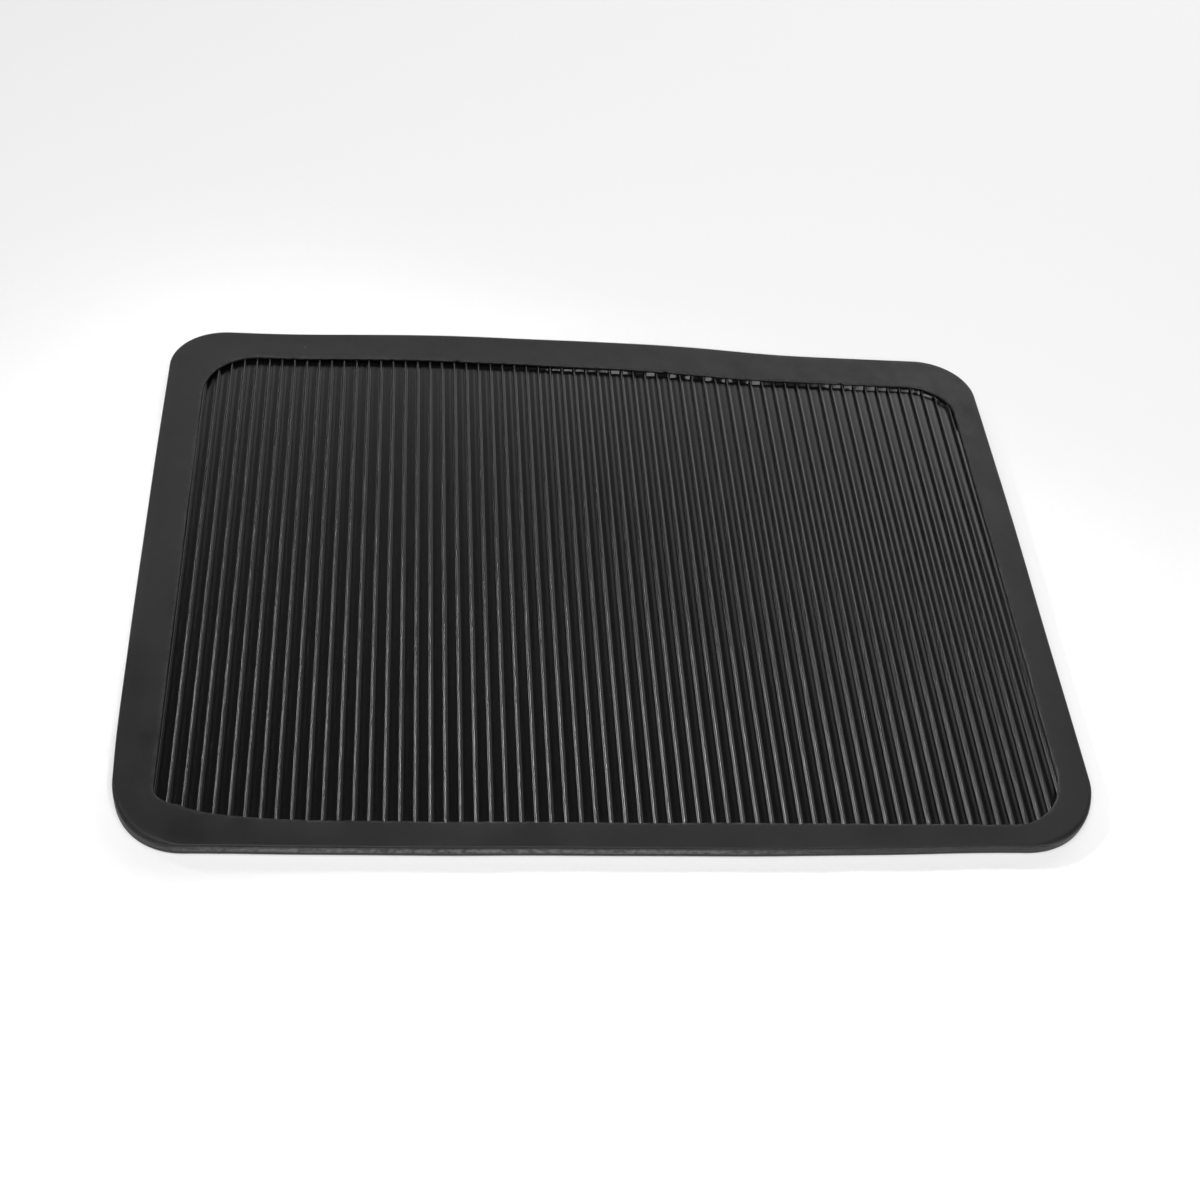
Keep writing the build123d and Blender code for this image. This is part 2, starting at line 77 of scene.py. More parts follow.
# Outlines as (low x, high x, low y, high y)
OUTER = (border_low.x, border_high.x, border_low.y, border_high.y)
SHEET = (sheet_low.x, sheet_high.x, sheet_low.y, sheet_high.y)
FIELD = (
    sheet_low.x + LIP_OVERLAP,
    sheet_high.x - LIP_OVERLAP,
    sheet_low.y + LIP_OVERLAP,
    sheet_high.y - LIP_OVERLAP,
)

# Corner radii, from the front right corner anticlockwise; the soft corners aren't quite alike
OUTER_RADII = (44.0 * MM, 36.5 * MM, 36.0 * MM, 40.0 * MM)
LIP_RADII = (34.0 * MM, 30.0 * MM, 36.0 * MM, 20.0 * MM)

# Gland opening in the rear wall
GLAND_WIDTH = 12.0 * MM
GLAND_CORNER_RADIUS = 2.0 * MM

# Camera: where it stands from the middle of the mat, and how it is turned, in degrees
CAMERA_PLACE = (-0.1298, -0.6506, 0.7512)
CAMERA_AZIMUTH = 11.61
CAMERA_ELEVATION = 49.41
CAMERA_ROLL = 10.17
CAMERA_LENS = 49.86
CAMERA_SENSOR = 36.0

# Edges sharper than this, in degrees, aren't shaded smooth
SLAB_SHARP_ANGLE = 40.0
RIB_SHARP_ANGLE = 30.0


# ---- small helpers for shapes ----


def waves(seed, lengths):
    """A smooth seeded wobble of two coordinates, about -1 to 1."""
    random = np.random.default_rng(seed)
    rows = []
    for length in lengths:
        angle = random.uniform(0.0, 2.0 * math.pi)
        shift = random.uniform(0.0, 2.0 * math.pi)
        rows.append((math.cos(angle) / length, math.sin(angle) / length, shift))

    def value(x, y):
        total = 0.0
        for rate_x, rate_y, shift in rows:
            total = total + np.sin(2.0 * math.pi * (rate_x * x + rate_y * y) + shift)
        return total / len(rows)

    return value


def along(seed, lengths):
    """A smooth seeded wobble along one coordinate, about -1 to 1."""
    random = np.random.default_rng(seed)
    shifts = random.uniform(0.0, 2.0 * math.pi, len(lengths))

    def value(t):
        total = 0.0
        for length, shift in zip(lengths, shifts):
            total = total + np.sin(2.0 * math.pi * t / length + shift)
        return total / len(lengths)

    return value


def smooth_step(t):
    """0 to 1 with level ends."""
    t = np.clip(t, 0.0, 1.0)
    return t * t * (3.0 - 2.0 * t)


def hump(t, middle, width, power=2.0):
    """A smooth hump of height 1; a higher power has a flatter top."""
    return np.exp(-(np.abs((t - middle) / width) ** power))


def outline(shape, radii, long_steps, short_steps, arc_steps):
    """Points and outward normals round a rounded rectangle, anticlockwise from the front left."""
    low_x, high_x, low_y, high_y = shape
    front_right, rear_right, rear_left, front_left = radii
    sides = (
        ((low_x + front_left, low_y), (high_x - front_right, low_y), (0.0, -1.0), long_steps, front_right),
        ((high_x, low_y + front_right), (high_x, high_y - rear_right), (1.0, 0.0), short_steps, rear_right),
        ((high_x - rear_right, high_y), (low_x + rear_left, high_y), (0.0, 1.0), long_steps, rear_left),
        ((low_x, high_y - rear_left), (low_x, low_y + front_left), (-1.0, 0.0), short_steps, front_left),
    )
    points, normals = [], []
    for (start_x, start_y), (end_x, end_y), (normal_x, normal_y), steps, radius in sides:
        t = np.arange(steps) / steps
        line = np.stack([start_x + (end_x - start_x) * t, start_y + (end_y - start_y) * t], 1)
        points.append(line)
        normals.append(np.tile((normal_x, normal_y), (steps, 1)))
        centre = np.array((end_x - normal_x * radius, end_y - normal_y * radius))
        first = math.atan2(normal_y, normal_x)
        angle = first + np.arange(arc_steps) / arc_steps * math.pi / 2
        turn = np.stack([np.cos(angle), np.sin(angle)], 1)
        points.append(centre + radius * turn)
        normals.append(turn)
    return np.concatenate(points), np.concatenate(normals)


def new_piece(name, vertices, faces, sharp_angle):
    """A mesh object, shaded smooth except across sharp edges."""
    mesh = bpy.data.meshes.new(name)
    mesh.from_pydata(vertices.tolist(), [], faces)
    mesh.update()
    mesh.shade_smooth()
    mesh.set_sharp_from_angle(angle=math.radians(sharp_angle))
    piece = bpy.data.objects.new(name, mesh)
    bpy.context.scene.collection.objects.link(piece)
    return piece


def ring_faces(stations, rows, close_rows):
    """Quads of a surface whose stations run in a closed loop; rows may close too."""
    last = rows if close_rows else rows - 1
    station, row = np.meshgrid(np.arange(stations), np.arange(last), indexing="ij")
    station, row = station.ravel(), row.ravel()
    here, after = station * rows, (station + 1) % stations * rows
    next_row = (row + 1) % rows
    return np.stack([here + row, after + row, after + next_row, here + next_row], 1).tolist()


def paint(piece, name, values):
    """Stores one number per vertex, for the material to read."""
    attribute = piece.data.attributes.new(name, "FLOAT", "POINT")
    attribute.data.foreach_set("value", np.asarray(values, np.float32))


def finish_piece(piece, body, slot, *nodes):
    """Puts a piece on its body, gives it the slot's material and hides the frame parts that it replaces."""
    piece.data.materials.clear()
    piece.data.materials.append(MATERIALS[slot])
    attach(piece, body)
    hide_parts(*nodes)


def cut(piece, cutter):
    """Takes the cutter out of the piece and deletes the cutter."""
    modifier = piece.modifiers.new("cut", "BOOLEAN")
    modifier.object = cutter
    modifier.operation = "DIFFERENCE"
    modifier.solver = "EXACT"
    bpy.context.view_layer.objects.active = piece
    bpy.ops.object.modifier_apply(modifier=modifier.name)
    bpy.data.objects.remove(cutter)


def prism(name, points, low, high, axis):
    """A closed prism over a loop of 2D points: along Z over (x, y), or along Y over (x, z)."""
    count = len(points)
    if axis == "Z":
        lower = [(x, y, low) for x, y in points]
        upper = [(x, y, high) for x, y in points]
    else:
        lower = [(x, high, z) for x, z in points]
        upper = [(x, low, z) for x, z in points]
    faces = [tuple(reversed(range(count))), tuple(range(count, 2 * count))]
    for index in range(count):
        following = (index + 1) % count
        faces.append((index, following, count + following, count + index))
    return new_piece(name, np.array(lower + upper), faces, SLAB_SHARP_ANGLE)


# ---- materials ----


class Shader:
    """A Principled material, with short ways to add the nodes behind it."""

    def __init__(self, name, roughness, metallic=0.0, specular=0.5):
        self.material = bpy.data.materials.new(name)
        self.material.use_nodes = True
        self.tree = self.material.node_tree
        self.tree.nodes.clear()
        output = self.tree.nodes.new("ShaderNodeOutputMaterial")
        self.principled = self.tree.nodes.new("ShaderNodeBsdfPrincipled")
        self.tree.links.new(self.principled.outputs["BSDF"], output.inputs["Surface"])
        self.principled.inputs["Roughness"].default_value = roughness
        self.principled.inputs["Metallic"].default_value = metallic
        self.principled.inputs["Specular IOR Level"].default_value = specular
        self.place = self.tree.nodes.new("ShaderNodeTexCoord").outputs["Object"]

    def stretched(self, x, y, z):
        """The object's coordinates, scaled along each axis."""
        node = self.tree.nodes.new("ShaderNodeMapping")
        self.tree.links.new(self.place, node.inputs["Vector"])
        node.inputs["Scale"].default_value = (x, y, z)
        return node.outputs["Vector"]

    def noise(self, scale, detail=3.0, roughness=0.55, vector=None):
        """Soft noise, about 0 to 1."""
        node = self.tree.nodes.new("ShaderNodeTexNoise")
        self.tree.links.new(vector or self.place, node.inputs["Vector"])
        node.inputs["Scale"].default_value = scale
        node.inputs["Detail"].default_value = detail
        node.inputs["Roughness"].default_value = roughness
        return node.outputs["Fac"]

    def cells(self, scale, output="Distance"):
        """Voronoi cells."""
        node = self.tree.nodes.new("ShaderNodeTexVoronoi")
        self.tree.links.new(self.place, node.inputs["Vector"])
        node.inputs["Scale"].default_value = scale
        return node.outputs[output]

    def bands(self, scale, direction):
        """Sine bands across one direction."""
        node = self.tree.nodes.new("ShaderNodeTexWave")
        node.bands_direction = direction
        self.tree.links.new(self.place, node.inputs["Vector"])
        node.inputs["Scale"].default_value = scale
        return node.outputs["Fac"]

    def attribute(self, name):
        """A number stored on the mesh."""
        node = self.tree.nodes.new("ShaderNodeAttribute")
        node.attribute_name = name
        return node.outputs["Fac"]

    def times(self, first, second):
        """The product of two outputs."""
        node = self.tree.nodes.new("ShaderNodeMath")
        node.operation = "MULTIPLY"
        self.tree.links.new(first, node.inputs[0])
        self.tree.links.new(second, node.inputs[1])
        return node.outputs["Value"]

    def spread(self, value, low, high, new_low=0.0, new_high=1.0):
        """Stretches a range to a new range, clamped at its ends."""
        node = self.tree.nodes.new("ShaderNodeMapRange")
        self.tree.links.new(value, node.inputs["Value"])
        node.inputs["From Min"].default_value = low
        node.inputs["From Max"].default_value = high
        node.inputs["To Min"].default_value = new_low
        node.inputs["To Max"].default_value = new_high
        return node.outputs["Result"]

    def blend(self, factor, first, second):
        """A mix of two colours."""
        node = self.tree.nodes.new("ShaderNodeMix")
        node.data_type = "RGBA"
        self.tree.links.new(factor, node.inputs["Factor"])
        for name, value in (("A", first), ("B", second)):
            socket = [each for each in node.inputs if each.name == name and each.type == "RGBA"][0]
            if isinstance(value, tuple):
                socket.default_value = value + (1.0,)
            else:
                self.tree.links.new(value, socket)
        return [each for each in node.outputs if each.type == "RGBA"][0]

    def colour(self, value):
        """Sets or links the base colour."""
        if isinstance(value, tuple):
            self.principled.inputs["Base Color"].default_value = value + (1.0,)
        else:
            self.tree.links.new(value, self.principled.inputs["Base Color"])

    def roughness(self, value):
        """Links the roughness."""
        self.tree.links.new(value, self.principled.inputs["Roughness"])

    def bump(self, height, distance, strength=1.0):
        """Adds a layer of bump on top of the layers already there."""
        node = self.tree.nodes.new("ShaderNodeBump")
        node.inputs["Strength"].default_value = strength
        node.inputs["Distance"].default_value = distance
        self.tree.links.new(height, node.inputs["Height"])
        before = self.principled.inputs["Normal"].links
        if before:
            self.tree.links.new(before[0].from_socket, node.inputs["Normal"])
        self.tree.links.new(node.outputs["Normal"], self.principled.inputs["Normal"])

    def specks(self, scale, size, share):
        """A mask of sparse dots: dots of a size in each cell, in only a share of the cells."""
        near = self.spread(self.cells(scale), size * 0.6, size, 1.0, 0.0)
        pick = self.spread(self.cells(scale, "Color"), 1.0 - share, 1.0 - share + 0.01)
        return self.times(near, pick)


def grey(value):
    """A neutral colour."""
    return (value, value, value)


def border_rubber():
    """Moulded black rubber: satin, faintly mottled, with dust, paler rubbed edges and a paler band on the
    front wall that is painted sheen.
    """
    shader = Shader("border_rubber", 0.5, specular=0.37)
    mottle = shader.noise(22.0, 6.0, 0.6)
    colour = shader.blend(shader.spread(mottle, 0.3, 0.7), grey(0.0060), grey(0.0088))
    smear = shader.spread(shader.noise(7.0, 4.0, 0.7), 0.55, 0.8, 0.0, 0.4)
    colour = shader.blend(smear, colour, grey(0.012))
    # Paler where the edges are rubbed, and paler on the front wall as a painted sheen standing in for
    # reflected light
    wear_and_sheen = shader.times(shader.attribute("wear_and_sheen"), shader.spread(shader.noise(260.0), 0.35, 0.7))
    colour = shader.blend(wear_and_sheen, colour, grey(0.11))
    dust = shader.specks(170.0, 0.09, 0.06)
    shader.colour(shader.blend(dust, colour, grey(0.13)))
    shader.roughness(shader.spread(shader.noise(45.0, 6.0, 0.65), 0.3, 0.7, 0.40, 0.60))
    shader.bump(shader.noise(35.0, 3.0), 0.35 * MM, 0.5)
    shader.bump(shader.noise(1400.0, 4.0), 0.03 * MM, 0.6)
    return shader.material


def ribbed_rubber():
    """Extruded black rubber: dark grooves with fine streaks along the ribs, crests paler partly from
    scuffing and partly as a painted highlight.
    """
    shader = Shader("ribbed_rubber", 0.4)
    streak = shader.noise(1.0, 4.0, 0.6, shader.stretched(900.0, 14.0, 200.0))
    colour = shader.blend(shader.spread(streak, 0.3, 0.7), grey(0.0004), grey(0.0010))
    patch = shader.spread(shader.noise(9.0, 4.0, 0.6), 0.45, 0.75, 0.0, 0.5)
    colour = shader.blend(patch, colour, grey(0.0020))
    scuff = shader.noise(1.0, 5.0, 0.7, shader.stretched(300.0, 60.0, 200.0))
    # The crests are made paler than the grooves: partly scuffing, partly a painted highlight
    wear_and_sheen = shader.times(shader.attribute("crest"), shader.spread(scuff, 0.35, 0.65, 0.3, 1.0))
    colour = shader.blend(wear_and_sheen, colour, grey(0.006))
    dust = shader.specks(210.0, 0.11, 0.07)
    shader.colour(shader.blend(dust, colour, grey(0.12)))
    shader.roughness(shader.spread(shader.attribute("crest"), 0.0, 1.0, 0.28, 0.31))
    shader.bump(streak, 0.004 * MM, 0.4)
    shader.bump(shader.noise(1100.0, 3.0), 0.01 * MM, 0.4)
    return shader.material


def base_rubber():
    """Pressed black rubber sheet with the print of the cloth that it was cured on."""
    shader = Shader("base_rubber", 0.62)
    weave = shader.times(shader.bands(240.0, "X"), shader.bands(240.0, "Y"))
    mottle = shader.noise(16.0, 5.0, 0.6)
    colour = shader.blend(shader.spread(mottle, 0.3, 0.7), grey(0.017), grey(0.027))
    scuff = shader.spread(shader.noise(1.0, 6.0, 0.7, shader.stretched(30.0, 9.0, 30.0)), 0.55, 0.75)
    colour = shader.blend(scuff, colour, grey(0.040))
    shader.colour(shader.blend(shader.specks(150.0, 0.08, 0.05), colour, grey(0.12)))
    shader.roughness(shader.spread(mottle, 0.3, 0.7, 0.55, 0.70))
    shader.bump(weave, 0.06 * MM, 0.8)
    shader.bump(shader.noise(900.0, 3.0), 0.03 * MM, 0.5)
    return shader.material


def moulded(name, colour_low, colour_high, roughness, grain=1200.0, depth=0.02):
    """A moulded or cast surface: two close colours in soft patches and a fine grain."""
    shader = Shader(name, roughness)
    mottle = shader.spread(shader.noise(60.0, 5.0), 0.3, 0.7)
    shader.colour(shader.blend(mottle, colour_low, colour_high))
    shader.roughness(shader.spread(shader.noise(200.0, 4.0), 0.3, 0.7, roughness - 0.06, roughness + 0.06))
    shader.bump(shader.noise(grain, 4.0), depth * MM, 0.6)
    return shader.material


def metal(name, colour_low, colour_high, roughness, stretch, depth=0.01):
    """Bright metal with fine drawn or rolled lines."""
    shader = Shader(name, roughness, metallic=1.0)
    lines = shader.noise(1.0, 5.0, 0.6, shader.stretched(*stretch))
    shader.colour(shader.blend(shader.spread(lines, 0.3, 0.7), colour_low, colour_high))
    shader.roughness(shader.spread(lines, 0.3, 0.7, roughness - 0.08, roughness + 0.1))
    shader.bump(lines, depth * MM, 0.5)
    return shader.material


def woven(name, colour_low, colour_high, pitch_scale):
    """Plain-woven cloth: crossing bands in the colour and the bump."""
    shader = Shader(name, 0.8)
    weave = shader.times(shader.bands(pitch_scale, "X"), shader.bands(pitch_scale, "Y"))
    shader.colour(shader.blend(weave, colour_low, colour_high))
    shader.bump(weave, 0.05 * MM, 0.8)
    return shader.material


MATERIALS = {
    "border_rubber": border_rubber(),
    "ribbed_rubber": ribbed_rubber(),
    "base_rubber": base_rubber(),
    "gland_rubber": moulded("gland_rubber", grey(0.014), grey(0.024), 0.42),
    "plate_foil": metal("plate_foil", (0.50, 0.50, 0.52), (0.66, 0.66, 0.68), 0.38, (60.0, 2500.0, 60.0)),
    "adhesive": moulded("adhesive", (0.50, 0.46, 0.34), (0.58, 0.55, 0.44), 0.35, 500.0, 0.03),
    "foil": metal("foil", (0.72, 0.72, 0.74), (0.86, 0.86, 0.88), 0.25, (40.0, 900.0, 40.0), 0.03),
    "foam": moulded("foam", (0.70, 0.70, 0.68), (0.84, 0.84, 0.82), 0.85, 900.0, 0.15),
    "resistance_alloy": metal(
        "resistance_alloy", (0.42, 0.40, 0.37), (0.60, 0.58, 0.54), 0.3, (900.0, 900.0, 900.0)
    ),
    "silicone_jacket": moulded("silicone_jacket", (0.42, 0.06, 0.05), (0.56, 0.10, 0.08), 0.45),
    "glass_cloth": woven("glass_cloth", (0.66, 0.64, 0.58), (0.90, 0.89, 0.84), 1200.0),
    "tinned_brass": metal(
        "tinned_brass", (0.62, 0.58, 0.48), (0.78, 0.74, 0.64), 0.3, (1500.0, 300.0, 1500.0)
    ),
    "steel_case": metal("steel_case", (0.50, 0.50, 0.52), (0.66, 0.66, 0.68), 0.32, (200.0, 2500.0, 2500.0)),
    "epoxy_seal": moulded("epoxy_seal", (0.07, 0.06, 0.05), (0.12, 0.11, 0.09), 0.2),
    "lead_insulation": moulded("lead_insulation", (0.76, 0.76, 0.74), (0.88, 0.88, 0.86), 0.4),
    "fuse_body": moulded("fuse_body", (0.72, 0.69, 0.60), (0.84, 0.82, 0.74), 0.25),
    "shrink_sleeve": moulded("shrink_sleeve", grey(0.020), grey(0.035), 0.35),
    "moulded_plastic": moulded("moulded_plastic", grey(0.05), grey(0.08), 0.5),
}


# ---- the border ----

LONG_STEPS = 496
SHORT_STEPS = 170
ARC_STEPS = 20
TOP_ROWS = 9
LIP_EDGE_STEPS = 5
TOP_EDGE_STEPS = 7

# A point faces a side when its normal's share of that side is over this
FACING = 0.9

# Seeds of the border's wobbles
RAGGED_SEED = 3
LIP_SWAY_SEED = 4
WALL_SWAY_SEED = 5
SWELL_SEED = 6

# The lip's inner edge
LIP_EDGE_RADIUS = 0.45 * MM
LIP_STEP = 0.04 * MM
SCALLOP = 0.11 * MM
RAGGED = 0.20 * MM
RAGGED_LENGTHS = (2.9 * MM, 4.7 * MM, 7.3 * MM, 13.0 * MM)
LIP_SWAY = 0.25 * MM
LIP_SWAY_LENGTHS = (61.0 * MM, 97.0 * MM, 155.0 * MM)
NOTCHES_X = (-83.0 * MM, 56.0 * MM, 176.0 * MM)
NOTCH_WIDTH = 1.1 * MM
NOTCH_DEPTH = 1.3 * MM

# Where the lip runs softly into the ribs: along the right, and along the rear's right part, less at its end
MERGED_LIP_RADIUS = 1.15 * MM
MERGED_FROM_X = 30.0 * MM
MERGED_RISE = 50.0 * MM
MERGED_TO_X = 200.0 * MM
MERGED_FALL = 10.0 * MM
MERGED_CORNER_LESS = 0.5
RIGHT_FROM = 0.4
RIGHT_BLEND = 0.5

# How a wobble along X also runs along Y, and how ragged the lip's sides are beside its front and rear
LIP_TURN = 0.7
WALL_TURN = 0.6
SIDE_RAGGED = 0.3

# The top: slightly hollow, with a slow swell
TOP_HOLLOW = 0.12 * MM
TOP_SWELL = 0.05 * MM
TOP_SWELL_LENGTHS = (38.0 * MM, 55.0 * MM, 71.0 * MM, 104.0 * MM)

# The outer edge, worn rounder at the front corners, and the undercut, by depths below that edge
TOP_EDGE_RADIUS = 0.5 * MM
CORNER_WEAR = 2.6 * MM
CORNER_SHARPNESS = 2.6
UNDERCUT_DEPTH = 0.7 * MM
UNDERCUT_START = 0.25 * MM
UNDERCUT_UPPER = 0.12 * MM
UNDERCUT_LOWER = 0.60 * MM
UNDERCUT_END = 0.75 * MM
UNDERCUT_LEFT = 0.1

# The wall: its sway, its foot as (inset, height over the seam), and how worn it is. The front sheen rows are
# (how far down the wall, how much painted sheen there): a paler band painted on the front-facing wall in
# place of the pale floor's reflection in it.
WALL_SWAY = 0.2 * MM
WALL_SWAY_LENGTHS = (83.0 * MM, 131.0 * MM, 212.0 * MM)
WALL_LOW = 0.5 * MM
WALL_FOOT = ((0.10 * MM, 0.18 * MM), (0.45 * MM, 0.0), (6.0 * MM, 0.0))
POCKET_GAP = 0.15 * MM
WALL_WEAR = 0.1
LIP_WEAR = 0.2
EDGE_WEAR = 0.06
FRONT_SHEEN_ROWS = ((0.2, 0.5), (0.45, 1.3), (0.8, 1.3), (1.0, 0.7))
# Where along the front wall the painted sheen lies, and how flat its top is
FRONT_SHEEN_MIDDLE_X = -70.0 * MM
FRONT_SHEEN_HALF_LENGTH = 165.0 * MM
FRONT_SHEEN_POWER = 6.0
FRONT_POWER = 4

# The soft mat isn't a true rectangle. A bow is (how far outward, where its middle is, its half width).
WALL_FRONT_SHIFT = -0.1 * MM
WALL_FRONT_RIGHT_BOW = (-2.5 * MM, 215.0 * MM, 75.0 * MM)
WALL_FRONT_LEFT_BOW = (-0.8 * MM, -215.0 * MM, 55.0 * MM)
WALL_RIGHT_BOW = (1.9 * MM, 60.0 * MM, 160.0 * MM)
WALL_REAR_SHIFT = -3.2 * MM
WALL_REAR_BOW = (6.1 * MM, -25.0 * MM, 135.0 * MM)
WALL_LEFT_BOW = (0.6 * MM, 20.0 * MM, 110.0 * MM)
WALL_LEFT_END_BOW = (-1.6 * MM, -170.0 * MM, 30.0 * MM)
LIP_FRONT_SHIFT = 0.4 * MM
LIP_CORNER_FILL = 15.0 * MM
LIP_CORNER_LENGTH = 25.0 * MM
LIP_RIGHT_SHIFT = -0.6 * MM
LIP_RIGHT_BOW = (-1.2 * MM, -170.0 * MM, 110.0 * MM)
LIP_REAR_SHIFT = -1.3 * MM
LIP_REAR_SLOPE = -0.0075
LIP_REAR_SLOPE_START = -200.0 * MM
LIP_REAR_BOW = (4.9 * MM, -40.0 * MM, 125.0 * MM)
REAR_BOW_POWER = 4.0


def quarter(steps):
    """Angles of a quarter turn, both ends included."""
    return [math.pi / 2 * index / steps for index in range(steps + 1)]


def bow(t, shape, power=2.0):
    """A bow of an edge, along the edge's coordinate."""
    height, middle, half_width = shape
    return height * hump(t, middle, half_width, power)


def rear_lip_shift(x):
    """How far the rear lip's edge strays outward from the straight line."""
    slope = LIP_REAR_SHIFT + LIP_REAR_SLOPE * (x - LIP_REAR_SLOPE_START)
    return slope + bow(x, LIP_REAR_BOW, REAR_BOW_POWER)


def lip_shift(x, y):
    """How far the lip's edge strays outward on the front, right, rear and left."""
    from_corner = np.maximum(x - FIELD[0], 0.0)
    front = LIP_FRONT_SHIFT - LIP_CORNER_FILL * np.exp(-from_corner / LIP_CORNER_LENGTH)
    right = LIP_RIGHT_SHIFT + bow(y, LIP_RIGHT_BOW)
    return front, right, rear_lip_shift(x), np.zeros(len(y))


def wall_shift(x, y):
    """How far the soft wall strays outward: it bows at the rear and draws in at the front corners."""
    front = WALL_FRONT_SHIFT + bow(x, WALL_FRONT_RIGHT_BOW) + bow(x, WALL_FRONT_LEFT_BOW)
    right = bow(y, WALL_RIGHT_BOW)
    rear = WALL_REAR_SHIFT + bow(x, WALL_REAR_BOW, REAR_BOW_POWER)
    left = bow(y, WALL_LEFT_BOW) + bow(y, WALL_LEFT_END_BOW)
    return front, right, rear, left


def stray(points, normals, shift):
    """Moves an outline along its normals by the shift of the sides that they face."""
    front, right, rear, left = shift(points[:, 0], points[:, 1])
    x, y = normals[:, 0], normals[:, 1]
    moved = np.where(y < 0.0, front, rear) * y ** 2 + np.where(x > 0.0, right, left) * x ** 2
    return points + normals * moved[:, None]


def lip_outline():
    """The lip's inner edge: it dips a little at each rib, is uneven, and has small notches."""
    points, normals = outline(FIELD, LIP_RADII, LONG_STEPS, SHORT_STEPS, ARC_STEPS)
    points = stray(points, normals, lip_shift)
    x, y = points[:, 0], points[:, 1]
    across = np.abs(normals[:, 1])
    scallop = SCALLOP * np.cos(2.0 * math.pi * (x - FIRST_RIB_X) / RIB_PITCH) * across
    ragged = RAGGED * along(RAGGED_SEED, RAGGED_LENGTHS)(x + LIP_TURN * y)
    sway = LIP_SWAY * along(LIP_SWAY_SEED, LIP_SWAY_LENGTHS)(x + LIP_TURN * y)
    moved = scallop + ragged * (SIDE_RAGGED + (1.0 - SIDE_RAGGED) * across) + sway
    on_rear = normals[:, 1] > FACING
    for notch_x in NOTCHES_X:
        moved += NOTCH_DEPTH * on_rear * hump(x, notch_x, NOTCH_WIDTH)
    return points + normals * moved[:, None], normals


def wall_outline():
    """The outer wall's outline, with the slight sway of moulded rubber."""
    points, normals = outline(OUTER, OUTER_RADII, LONG_STEPS, SHORT_STEPS, ARC_STEPS)
    points = stray(points, normals, wall_shift)
    sway = along(WALL_SWAY_SEED, WALL_SWAY_LENGTHS)(points[:, 0] + WALL_TURN * points[:, 1])
    return points + normals * (WALL_SWAY * sway)[:, None], normals


def lip_radii(lip, normals):
    """The rounding of the lip's upper edge at each point of it."""
    x = lip[:, 0]
    on_right = smooth_step((normals[:, 0] - RIGHT_FROM) / RIGHT_BLEND)
    on_rear = (normals[:, 1] > FACING) * smooth_step((x - MERGED_FROM_X) / MERGED_RISE)
    on_rear = on_rear * (1.0 - MERGED_CORNER_LESS * smooth_step((x - MERGED_TO_X) / MERGED_FALL))
    return LIP_EDGE_RADIUS + (MERGED_LIP_RADIUS - LIP_EDGE_RADIUS) * np.maximum(on_right, on_rear)


